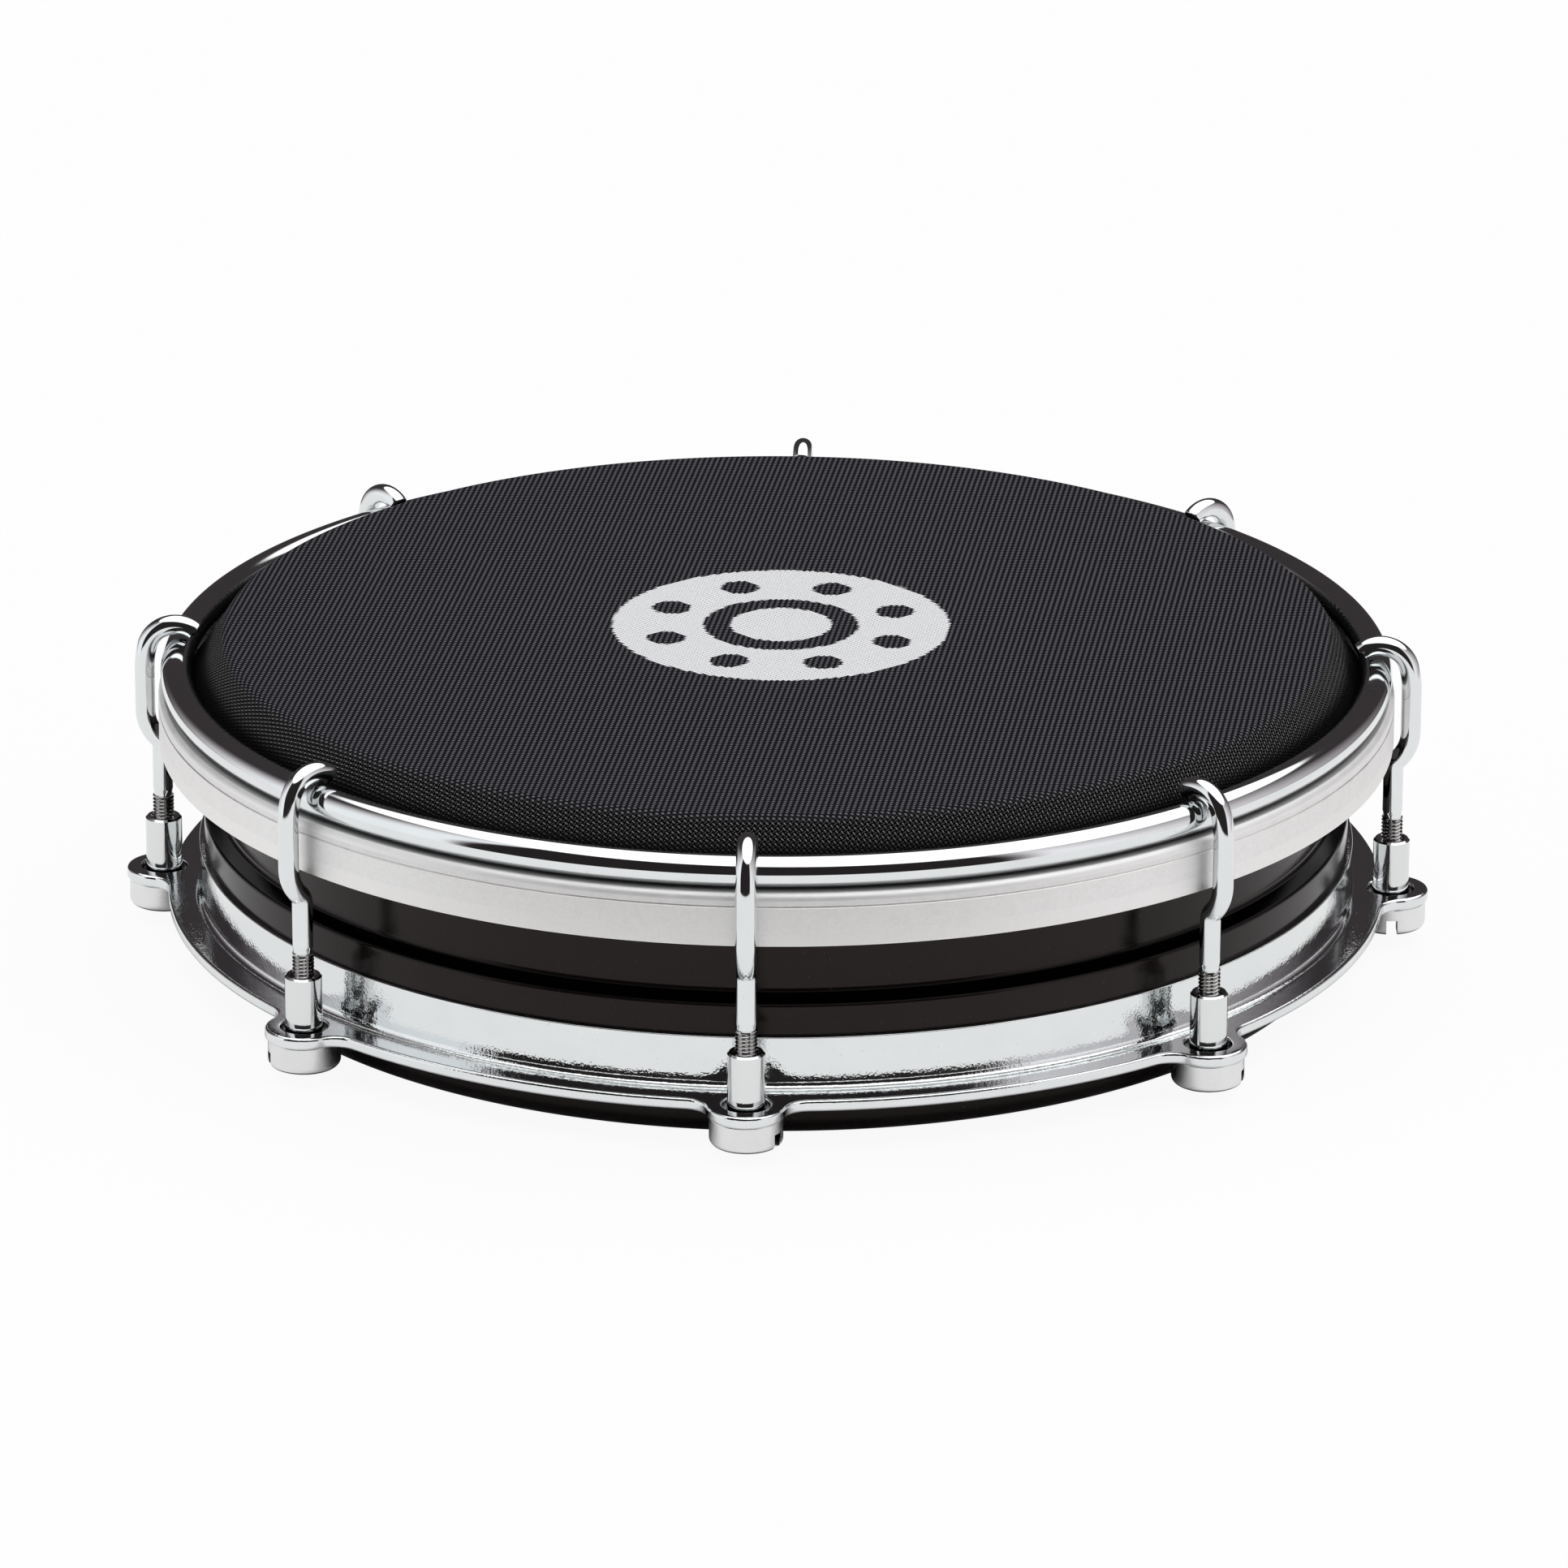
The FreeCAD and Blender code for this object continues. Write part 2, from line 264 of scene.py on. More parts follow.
class Nodes:
    """Short ways to add shader nodes and to link their values."""

    def __init__(self, tree):
        self.tree = tree

    def add(self, kind, inputs=None, **settings):
        node = self.tree.nodes.new("ShaderNode" + kind)
        for name, value in settings.items():
            setattr(node, name, value)
        for name, value in (inputs or {}).items():
            self.set(node.inputs[name], value)
        return node

    def set(self, socket, value):
        if isinstance(value, bpy.types.NodeSocket):
            self.tree.links.new(value, socket)
        else:
            socket.default_value = value

    def math(self, operation, *values, clamp=False):
        node = self.add("Math", operation=operation, use_clamp=clamp)
        for index, value in enumerate(values):
            self.set(node.inputs[index], value)
        return node.outputs[0]

    def vector(self, operation, *values):
        node = self.add("VectorMath", operation=operation)
        for index, value in enumerate(values):
            self.set(node.inputs[index], value)
        return node.outputs[0]

    def dot(self, vector, other):
        node = self.add("VectorMath", operation="DOT_PRODUCT")
        self.set(node.inputs[0], vector)
        self.set(node.inputs[1], other)
        return node.outputs["Value"]

    def length(self, vector):
        return self.add("VectorMath", {0: vector}, operation="LENGTH").outputs["Value"]

    def scaled(self, vector, factor):
        node = self.add("VectorMath", operation="SCALE")
        self.set(node.inputs[0], vector)
        self.set(node.inputs["Scale"], factor)
        return node.outputs[0]

    def ramp(self, value, low, high, start=0.0, end=1.0, kind="SMOOTHSTEP"):
        """Value between low and high, as a step from start to end."""
        node = self.add("MapRange", interpolation_type=kind)
        for index, part in enumerate((value, low, high, start, end)):
            self.set(node.inputs[index], part)
        return node.outputs[0]

    def fade(self, length, low, high, start=0.0, end=1.0):
        """Step from start to end where a length in metres passes from low to high, in millimetres."""
        return self.ramp(length, low * MM, high * MM, start, end)

    def level(self, place):
        return self.add("SeparateXYZ", {"Vector": place}).outputs[2]

    def mix(self, factor, first, second):
        """Colour between first and second; a Mix node has its colours on sockets 6 and 7."""
        inputs = {0: factor, 6: first, 7: second}
        return self.add("Mix", inputs, data_type="RGBA").outputs[2]

    def mix_vectors(self, factor, first, second):
        """Vector between first and second; a Mix node has its vectors on sockets 4 and 5."""
        inputs = {0: factor, 4: first, 5: second}
        return self.add("Mix", inputs, data_type="VECTOR").outputs[1]

    def noise(self, vector, size, detail=2.0, roughness=0.5):
        """Noise with features of about size millimetres."""
        inputs = {"Vector": vector, "Scale": 1 / (size * MM), "Detail": detail, "Roughness": roughness}
        return self.add("TexNoise", inputs).outputs["Fac"]

    def bump(self, shader, height, depth):
        """Height between 0 and 1 as a relief of depth millimetres."""
        node = self.add("Bump", {"Height": height, "Strength": 1.0, "Distance": depth * MM})
        self.set(shader.inputs["Normal"], node.outputs[0])


def new_material(name, **values):
    """A material with one Principled shader, whose values are set on its own sockets."""
    made = bpy.data.materials.new(name)
    made.use_nodes = True
    nodes = Nodes(made.node_tree)
    shader = made.node_tree.nodes["Principled BSDF"]
    for key, value in values.items():
        shader.inputs[key.replace("_", " ")].default_value = value
    return made, nodes, shader


def grey(level, tint=(1, 1, 1)):
    return (*(level * part for part in tint), 1)


def object_place(nodes):
    return nodes.add("TexCoord").outputs["Object"]


def polar(nodes, place):
    """Turn about the drum's axis, radius and level of a place."""
    split = nodes.add("SeparateXYZ", {"Vector": place}).outputs
    turn = nodes.math("ARCTAN2", split[1], split[0])
    radius = nodes.length(nodes.vector("MULTIPLY", place, (1, 1, 0)))
    return turn, radius, split[2]


def from_sector_point(nodes, radius, turn, circle):
    """The way from a point on a circle, repeated for each lug, to the place at radius and turn."""
    sector = 2 * math.pi / lug_count
    past_edge = nodes.math("FLOORED_MODULO", nodes.math("ADD", turn, sector / 2), sector)
    in_sector = nodes.math("SUBTRACT", past_edge, sector / 2)
    along = nodes.math("MULTIPLY", radius, nodes.math("COSINE", in_sector))
    across = nodes.math("MULTIPLY", radius, nodes.math("SINE", in_sector))
    return nodes.add("CombineXYZ", {"X": nodes.math("SUBTRACT", along, circle), "Y": across}).outputs[0]


def chrome(name, peel=0.0, grime_below=0.0):
    """Bright chrome: faint smears and dust, on pressed sheet the skin of an orange, and grime in a thread."""
    polished_to = 0.04
    worn_to = 0.09
    smear_size = 14
    cloud_size = 6
    dust_size = 0.5
    fine_peel_size = 0.32
    broad_peel_size = 2.2
    broad_peel_share = 1.5
    grime_fade = 0.2
    grime_share = 0.6
    made, nodes, shader = new_material(name, Metallic=1.0)
    place = object_place(nodes)
    smear = nodes.noise(place, smear_size, 3.0, 0.6)
    nodes.set(shader.inputs["Roughness"], nodes.ramp(smear, 0.35, 0.75, polished_to, worn_to))
    cloud = nodes.noise(place, cloud_size, 3.0, 0.6)
    clean = nodes.mix(cloud, grey(0.74, (0.96, 0.99, 1.0)), grey(0.82, cool))
    dust = nodes.ramp(nodes.noise(place, dust_size, 1.0), 0.72, 0.88)
    dusty = nodes.mix(dust, clean, grey(0.6))
    grime = nodes.fade(nodes.level(place), grime_below, grime_below + grime_fade, grime_share, 0.0)
    nodes.set(shader.inputs["Base Color"], nodes.mix(grime, dusty, grey(0.22, (1.1, 1, 0.95))))
    if peel:
        fine = nodes.noise(place, fine_peel_size, 1.0)
        broad = nodes.math("MULTIPLY", nodes.noise(place, broad_peel_size, 2.0), broad_peel_share)
        nodes.bump(shader, nodes.math("ADD", fine, broad), peel)
    return made


def nut_chrome():
    """Chrome sleeve over a duller turned head, with fine lathe lines on the head and painted shade that
    darkens the slot.
    """
    head_edge = 0.05
    skin_fade = 0.1
    face_rise = (0.1, 0.3)
    sleeve_roughness = 0.05
    head_roughness = 0.26
    smear_size = 5
    cloud_size = 2.5
    line_size = 0.12
    across_lines = 0.05
    grain_size = 0.25
    grain_share = 0.6
    relief = 0.006
    made, nodes, shader = new_material("chrome_nut", Metallic=1.0)
    place = object_place(nodes)
    turn, radius, level = polar(nodes, place)
    head = nodes.fade(level, ring_low.z - head_edge, ring_low.z + head_edge, 1.0, 0.0)
    axis_distance = nodes.length(from_sector_point(nodes, radius, turn, lug_circle_radius * MM))
    under_skin = nodes.fade(axis_distance, nut_head_inside, nut_head_inside + skin_fade, 1.0, 0.0)
    above_face = nodes.fade(level, nut_low.z + face_rise[0], nut_low.z + face_rise[1])
    # Painted shade: the walls of the slot in the nut's head are painted near black
    slot_painted_shade = nodes.math("MULTIPLY", nodes.math("MULTIPLY", under_skin, above_face), head)
    smear = nodes.ramp(nodes.noise(place, smear_size, 3.0, 0.6), 0.35, 0.75, 0.0, 0.06)
    finish = nodes.ramp(head, 0, 1, sleeve_roughness, head_roughness)
    nodes.set(shader.inputs["Roughness"], nodes.math("ADD", smear, finish))
    cloud = nodes.noise(place, cloud_size, 3.0, 0.6)
    satin = nodes.mix(cloud, grey(0.74), grey(0.86))
    outside = nodes.mix(head, grey(0.75, cool), satin)
    nodes.set(shader.inputs["Base Color"], nodes.mix(slot_painted_shade, outside, grey(0.02)))
    drawn_out = nodes.vector("MULTIPLY", place, (across_lines, across_lines, 1.0))
    lines = nodes.math("MULTIPLY", nodes.noise(drawn_out, line_size, 2.0), head)
    grain = nodes.math("MULTIPLY", nodes.noise(place, grain_size, 2.0), grain_share)
    nodes.bump(shader, nodes.math("ADD", lines, grain), relief)
    return made


def satin_aluminium():
    """Drawn aluminium: fine lines, a cloudy bloom, dark scuffs and a matt lip, with painted shade for a dull
    line under the bar and a painted highlight that brightens the lip's top.
    """
    drawn_radius = 25
    seam = hoop_high.z - hoop_seam_drop
    foot_line = hoop_low.z + hoop_line_rise
    line_fade = 0.1
    # Levels below the top where the lip is painted brighter, a painted highlight
    lip_highlight_drop = (hoop_shoulder_round + 0.1, 0.9)
    # Levels below the top where painted shade darkens the hoop under the bar
    contact_shade_drop = (0.2, 0.06)
    lip_rise = (0.1, 0.3)
    line_size = 0.3
    cloud_size = 3.2
    speckle_size = 0.45
    scuff_size = 1.1
    relief = 0.006
    made, nodes, shader = new_material("satin_aluminium")
    place = object_place(nodes)
    turn, radius, level = polar(nodes, place)
    around = nodes.math("MULTIPLY", turn, drawn_radius * MM)
    drawn = nodes.add("CombineXYZ", {"X": around, "Y": radius, "Z": level}).outputs[0]
    lines = nodes.noise(drawn, line_size, 2.0)
    cloud = nodes.noise(place, cloud_size, 4.0, 0.65)
    speckle = nodes.noise(place, speckle_size, 2.0, 0.7)
    lower_band = nodes.fade(level, foot_line, foot_line + line_fade, 0.35, 0.0)
    base = nodes.mix(nodes.ramp(cloud, 0.3, 0.7), grey(0.82, warm), grey(0.90, (1, 0.99, 0.98)))
    mottled = nodes.mix(nodes.ramp(speckle, 0.3, 0.75, 0.0, 0.35), base, grey(0.98))
    banded = nodes.mix(lower_band, mottled, grey(0.98, warm))
    scuff = nodes.ramp(nodes.noise(place, scuff_size, 5.0, 0.7), 0.70, 0.78, 0.0, 0.5)
    scuffed = nodes.mix(scuff, banded, grey(0.35, (1, 0.97, 0.93)))
    # Painted highlight: the lip's top gets a brighter base colour than the rest of the hoop
    shoulder = nodes.fade(level, hoop_high.z - lip_highlight_drop[0], hoop_high.z - lip_highlight_drop[1])
    # Painted shade: a dark line on the hoop's top under the bar
    bar_contact_painted_shade = nodes.fade(level, hoop_high.z - contact_shade_drop[0], hoop_high.z - contact_shade_drop[1])
    # The lip's colour: a painted highlight, darkened by painted shade towards the bar
    lip = nodes.mix(bar_contact_painted_shade, grey(1.0), grey(0.42))
    nodes.set(shader.inputs["Base Color"], nodes.mix(shoulder, scuffed, lip))
    nodes.set(shader.inputs["Metallic"], nodes.fade(level, seam + lip_rise[0], seam + lip_rise[1], 1.0, 0.6))
    nodes.set(shader.inputs["Roughness"], nodes.ramp(cloud, 0.3, 0.7, 0.46, 0.54))
    nodes.bump(shader, nodes.math("ADD", lines, speckle), relief)
    return made


def gloss_black():
    """Moulded black plastic: a polished face with faint grain and dust, and painted shade that makes the
    ledge dead black and dull.
    """
    ledge_foot = ring_high.z + band_height
    ledge_top = ledge_foot + ledge_rise
    foot_edges = (-0.15, 0.1)
    top_edges = (-0.2, 0.3)
    dust_size = 0.35
    cloud_size = 7
    grain_size = 0.22
    relief = 0.009
    made, nodes, shader = new_material("black_abs", IOR=1.30)
    place = object_place(nodes)
    level = nodes.level(place)
    above_band = nodes.fade(level, ledge_foot + foot_edges[0], ledge_foot + foot_edges[1])
    below_wall = nodes.fade(level, ledge_top + top_edges[0], ledge_top + top_edges[1], 1.0, 0.0)
    # Painted shade: the ledge between the band and the wall is painted near black
    ledge = nodes.math("MULTIPLY", above_band, below_wall)
    dust = nodes.ramp(nodes.noise(place, dust_size, 1.0), 0.70, 0.82)
    cloud = nodes.noise(place, cloud_size, 3.0)
    black = nodes.mix(cloud, grey(0.0045, (1.35, 1.0, 0.95)), grey(0.009, (1.3, 1.0, 0.95)))
    dusty = nodes.mix(dust, black, grey(0.035))
    nodes.set(shader.inputs["Base Color"], nodes.mix(ledge, dusty, grey(0.0005)))
    # Painted shade on the ledge also dims its reflections through the specular tint
    nodes.set(shader.inputs["Specular Tint"], nodes.mix(ledge, grey(1.0, (1.0, 0.87, 0.84)), grey(0.05)))
    nodes.set(shader.inputs["Roughness"], nodes.ramp(cloud, 0.3, 0.7, 0.11, 0.17))
    nodes.bump(shader, nodes.noise(place, grain_size, 3.0, 0.7), relief)
    return made


def dull_resin():
    cloud_size = 1.5
    brown = (1, 0.9, 0.8)
    made, nodes, shader = new_material("dark_resin")
    cloud = nodes.noise(object_place(nodes), cloud_size, 3.0)
    nodes.set(shader.inputs["Base Color"], nodes.mix(cloud, grey(0.012, brown), grey(0.035, brown)))
    nodes.set(shader.inputs["Roughness"], nodes.ramp(cloud, 0.3, 0.7, 0.5, 0.75))
    return made


def cell_place(nodes, counts):
    """The middle of the crossing of two threads that a place belongs to, from its counts of threads."""
    angles = (thread_one_angle, thread_two_angle)
    pitches = (thread_one_pitch, thread_two_pitch)
    across = math.sin(angles[1] - angles[0])
    place = None
    for index, count in enumerate(counts):
        other = angles[1 - index]
        side = 1 - 2 * index
        way = Vector((math.sin(other), -math.cos(other), 0)) * (side * pitches[index] / across)
        middle = nodes.math("ADD", nodes.math("FLOOR", count), 0.5)
        part = nodes.scaled(tuple(way), middle)
        place = nodes.vector("ADD", place, part) if place else part
    return place


def print_mask(nodes, place):
    """1 where the head carries white print: a disc, with a ring and a dot for each lug left out of it."""
    turn, radius, _ = polar(nodes, place)
    between_lugs = nodes.math("ADD", turn, math.pi / lug_count)
    from_dot = from_sector_point(nodes, radius, between_lugs, print_dot_circle)
    off_ring = nodes.math("ABSOLUTE", nodes.math("SUBTRACT", radius, print_ring_radius))
    clear_of_ring = nodes.math("SUBTRACT", off_ring, print_ring_width / 2)
    clear_of_dot = nodes.math("SUBTRACT", nodes.length(from_dot), print_dot_radius)
    into_disc = nodes.math("SUBTRACT", print_radius, radius)
    inside = nodes.math("MINIMUM", into_disc, nodes.math("MINIMUM", clear_of_ring, clear_of_dot))
    return nodes.ramp(inside, -print_edge, print_edge)


def woven_cloth():
    """Plain weave: two families of threads rise over each other by turns, which gives relief; its colour is
    painted light, with painted highlights on the threads' crowns and painted shade on the collar.
    """
    made, nodes, shader = new_material("woven_skin", Specular_IOR_Level=0.04)
    place = nodes.scaled(nodes.add("UVMap", uv_map="cut").outputs[0], 1 / MM)
    crown = 0.8
    swing = 0.42
    flatness = 1.3
    # Widths across the crown and lifts along the float of the painted highlights, on the face and on the
    # shoulder
    face_shine = (0.35, 0.95)
    face_lift = (-0.3, 0.7)
    shoulder_shine = (0.1, 0.45)
    shoulder_lift = (-0.6, 0.5)
    shoulder_edges = (shell_radius - 1.3, shell_radius + 0.4)
    # Reach past which the collar is painted into shade
    collar_shade_edges = (shell_radius + 2.0, shell_radius + 4.5)
    families = []
    counts = []
    for pitch, angle in ((thread_one_pitch, thread_one_angle), (thread_two_pitch, thread_two_angle)):
        way = Vector((math.cos(angle), math.sin(angle), 0))
        count = nodes.dot(place, tuple(way / pitch))
        counts.append(count)
        phase = nodes.math("MULTIPLY", count, math.pi)
        side = nodes.math("SUBTRACT", nodes.math("MULTIPLY", nodes.math("FRACT", count), 2), 1)
        families.append((tuple(way), nodes.math("SINE", phase), nodes.math("COSINE", phase), side))
    heights = []
    tilts = []
    painted_highlights = []
    for own, other, turn in ((families[0], families[1], 1), (families[1], families[0], -1)):
        parity = nodes.math("MULTIPLY", nodes.math("SIGN", own[1]), turn)
        hollow = nodes.math("MULTIPLY", nodes.math("MULTIPLY", own[3], own[3]), crown)
        profile = nodes.math("SQRT", nodes.math("SUBTRACT", 1, hollow))
        lift = nodes.math("MULTIPLY", parity, other[1])
        heights.append(nodes.math("ADD", profile, nodes.math("MULTIPLY", lift, swing)))
        across = nodes.math("DIVIDE", nodes.math("MULTIPLY", own[3], crown), profile)
        along = nodes.math("MULTIPLY", nodes.math("MULTIPLY", parity, other[2]), -swing * math.pi / 2)
        tilts.append(nodes.vector("ADD", nodes.scaled(own[0], across), nodes.scaled(other[0], along)))
        # Painted highlight along the crown of each float
        off_crown = nodes.math("ABSOLUTE", own[3])
        broad = nodes.ramp(off_crown, *face_shine, 1.0, 0.0)
        thin = nodes.ramp(off_crown, *shoulder_shine, 1.0, 0.0)
        face_painted_highlight = nodes.math("MULTIPLY", broad, nodes.ramp(lift, *face_lift))
        shoulder_painted_highlight = nodes.math("MULTIPLY", thin, nodes.ramp(lift, *shoulder_lift))
        painted_highlights.append((face_painted_highlight, shoulder_painted_highlight))
    first_on_top = nodes.math("GREATER_THAN", heights[0], heights[1])
    height = nodes.math("MAXIMUM", heights[0], heights[1])

    tilt = nodes.mix_vectors(first_on_top, tilts[1], tilts[0])
    unit = nodes.vector("NORMALIZE", nodes.vector("ADD", tilt, (0, 0, flatness)))
    half = (0.5, 0.5, 0.5)
    packed = nodes.vector("MULTIPLY_ADD", unit, half, half)
    normal = nodes.add("NormalMap", {"Strength": 1.0, "Color": packed}, uv_map="cut")
    nodes.set(shader.inputs["Normal"], normal.outputs[0])

    reach = nodes.length(place)
    steep = nodes.ramp(reach, *shoulder_edges)
    # Painted shade on the collar below the shoulder
    collar = nodes.ramp(reach, *collar_shade_edges)
    # Painted highlights: bright crowns on the first family, dim ones on the second, thin dashes on the
    # shoulder
    flat_first = nodes.mix(painted_highlights[0][0], grey(0.001), grey(0.155, (0.96, 0.93, 1.1)))
    flat_second = nodes.mix(painted_highlights[1][0], grey(0.001), grey(0.006, (0.97, 0.94, 1.06)))
    steep_first = nodes.mix(painted_highlights[0][1], grey(0.0002), grey(0.22))
    steep_second = nodes.mix(painted_highlights[1][1], grey(0.0002), grey(0.08))
    first = nodes.mix(steep, flat_first, steep_first)
    second = nodes.mix(steep, flat_second, steep_second)
    # The collar is painted near black, a painted shade
    yarn_with_painted_light = nodes.mix(collar, nodes.mix(first_on_top, second, first), grey(0.0015))
    paint = nodes.mix(nodes.ramp(height, 0.72, 0.95), grey(0.30), grey(0.95, (0.98, 0.99, 1.0)))
    in_print = nodes.vector("SUBTRACT", cell_place(nodes, counts), (print_right, print_back, 0))
    level = nodes.level(object_place(nodes))
    upper_face = nodes.math("GREATER_THAN", level, (head_high.z - skin_thickness / 2) * MM)
    printed = nodes.math("MULTIPLY", print_mask(nodes, in_print), upper_face)
    nodes.set(shader.inputs["Base Color"], nodes.mix(printed, yarn_with_painted_light, paint))
    nodes.set(shader.inputs["Roughness"], nodes.ramp(height, 0.8, 1.4, 0.65, 0.4))
    return made


def make_head(material):
    """The woven head: one flat cut disc, drawn over the bearing edge and down into the channel."""
    centre = Vector((shell_radius - bearing_round, shell_high.z - bearing_round))

    def layer(offset, leg, corner_round):
        """Corners where one face of the skin turns down into the collar, and from the collar into its leg."""
        slope = (1 - math.sin(collar_slope)) / math.cos(collar_slope)
        outwards = (leg - centre.x) * math.cos(collar_slope)
        return [
            (centre.x + offset * slope, centre.y + offset, offset),
            (leg, centre.y + (offset - outwards) / math.sin(collar_slope), corner_round),
        ]

    top = head_high.z
    foot = head_low.z
    inner_leg = skin_leg_radius - skin_thickness
    inner_offset = bearing_round + skin_gap
    outer = layer(inner_offset + skin_thickness, skin_leg_radius, collar_round)
    outer[0] = (*outer[0][:2], shoulder_round)
    inner = layer(inner_offset, inner_leg, collar_round + skin_thickness)
    corners = [(0, top, 0), *outer, (skin_leg_radius, foot, 0), (inner_leg, foot, 0), *reversed(inner),
               (0, top - skin_thickness, 0)]
    path = rounded_section(corners)
    upper_steps = range(1, skin_upper_rings)
    lower_steps = range(skin_lower_rings - 1, 0, -1)
    upper_rings = [Vector((path[1].x * step / skin_upper_rings, top)) for step in upper_steps]
    underside = top - skin_thickness
    lower_rings = [Vector((path[-2].x * step / skin_lower_rings, underside)) for step in lower_steps]
    section = [*upper_rings, *path[1:-1], *lower_rings]
    nearly_none = 1e-4
    foot_index = next(index for index, point in enumerate(section) if point.y - foot < nearly_none)

    reach = [section[0].x]
    for index, (before, after) in enumerate(zip(section, section[1:])):
        step = (after - before).length
        reach.append(reach[-1] + step * ((index < foot_index) - (index > foot_index)))
    vertices = [(0, 0, top), (0, 0, top - skin_thickness)]
    faces = []
    count = len(section)
    angles = [2 * math.pi * step / turn_steps for step in range(turn_steps)]
    for step, angle in enumerate(angles):
        vertices += [(p.x * math.cos(angle), p.x * math.sin(angle), p.y) for p in section]
        here = 2 + step * count
        there = 2 + (step + 1) % turn_steps * count
        faces.append((0, here, there))
        faces.append((1, there + count - 1, here + count - 1))
        for index in range(count - 1):
            faces.append((here + index, here + index + 1, there + index + 1, there + index))
    head = new_object("woven_head", vertices, faces, material, "woven_skin", "drum")
    cut = head.data.uv_layers.new(name="cut")
    for loop in head.data.loops:
        step, index = divmod(loop.vertex_index - 2, count)
        if loop.vertex_index < 2:
            cut.data[loop.index].uv = (0, 0)
        else:
            cut.data[loop.index].uv = on_circle(reach[index] * MM, angles[step])
    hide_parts("drum_head")


def make_shell(material):
    """The shell's own outline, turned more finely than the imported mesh."""
    bore = shell_radius - shell_wall
    shoulder = ring_high.z
    band_top = shoulder + band_height
    section = rounded_section([
        (bore, shell_low.z, foot_inner_round),
        (spigot_radius, shell_low.z, foot_round),
        (spigot_radius, shoulder, 0),
        (band_radius, shoulder, band_lower_round),
        (band_radius, band_top, band_round),
        (shell_radius, band_top + ledge_rise, ledge_round),
        (shell_radius, shell_high.z, bearing_round),
        (bore, shell_high.z, bearing_inner_round),
    ])
    shell = new_object("shell_fine", *turned(section), material, "black_abs", "drum")
    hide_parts("shell")


def make_head_hoop(material):
    """Channel hoop: a lip over the skin's leg, a seam under the lip and a faint line near the foot."""
    top = hoop_high.z
    foot = hoop_low.z
    lip_floor = top - hoop_wall
    groove_floor = foot + hoop_floor
    groove_outer = hoop_radius - hoop_wall
    groove_inner = hoop_inner_radius + hoop_wall
    inner_top = foot + groove_inner_height

    def furrow(level, depth, width):
        below = (hoop_radius, level - width / 2, 0)
        above = (hoop_radius, level + width / 2, 0)
        return [below, (hoop_radius - depth, level, 0), above]

    section = rounded_section([
        (hoop_inner_radius, foot, hoop_edge_round),
        (hoop_radius, foot, hoop_foot_round),
        *furrow(foot + hoop_line_rise, hoop_line_depth, hoop_line_width),
        *furrow(top - hoop_seam_drop, hoop_seam_depth, hoop_seam_width),
        (hoop_radius, top, hoop_shoulder_round),
        (hoop_lip_radius, top, hoop_edge_round),
        (hoop_lip_radius, lip_floor, hoop_edge_round),
        (groove_outer, lip_floor, hoop_edge_round),
        (groove_outer, groove_floor, 0),
        (groove_inner, groove_floor, 0),
        (groove_inner, inner_top, hoop_edge_round),
        (hoop_inner_radius, inner_top, hoop_edge_round),
    ])
    hoop = new_object("hoop_fine", *turned(section), material, "satin_aluminium", "drum")
    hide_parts("head_hoop")


def make_counter_hoop(material):
    bar_radius = (bar_high.z - bar_low.z) / 2
    middle = Vector((bar_high.x - bar_radius, bar_low.z + bar_radius))
    section = [middle + on_circle(bar_radius, 2 * math.pi * side / bar_sides) for side in range(bar_sides)]
    bar = new_object("counter_hoop_fine", *turned(section, bar_steps), material, "chrome", "drum")
    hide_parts("counter_hoop")


def flange_outline():
    """Points of the flange's edge, each with the way out of the plate, once round the drum."""
    hollow_circle = flange_radius + lug_neck_round
    lug_reach = lug_radius + lug_neck_round
    squares = hollow_circle ** 2 + lug_circle_radius ** 2 - lug_reach ** 2
    spread = math.acos(squares / (2 * hollow_circle * lug_circle_radius))
    points = []

    def arc(centre, radius, start, sweep, steps, side):
        for step in range(steps):
            way = on_circle(1, start + sweep * step / steps)
            points.append((centre + way * radius, way * side))

    for index in range(lug_count):
        middle = at_lug(index)
        lug_centre = on_circle(lug_circle_radius, middle)
        before = on_circle(hollow_circle, middle - spread)
        after = on_circle(hollow_circle, middle + spread)
        to_lug = math.atan2(*reversed(lug_centre - before))
        from_lug = math.atan2(*reversed(lug_centre - after))
        hollow_start = middle - spread + math.pi
        hollow_sweep = (to_lug - hollow_start + math.pi) % (2 * math.pi) - math.pi
        lug_sweep = (from_lug - to_lug) % (2 * math.pi)
        flange_sweep = 2 * math.pi / lug_count - 2 * spread
        arc(before, lug_neck_round, hollow_start, hollow_sweep, lug_neck_steps, -1)
        arc(lug_centre, lug_radius, to_lug + math.pi, lug_sweep, lug_steps, 1)
        arc(after, lug_neck_round, from_lug, hollow_sweep, lug_neck_steps, -1)
        arc(Vector((0, 0)), flange_radius, middle + spread, flange_sweep, flange_steps, 1)
    return points


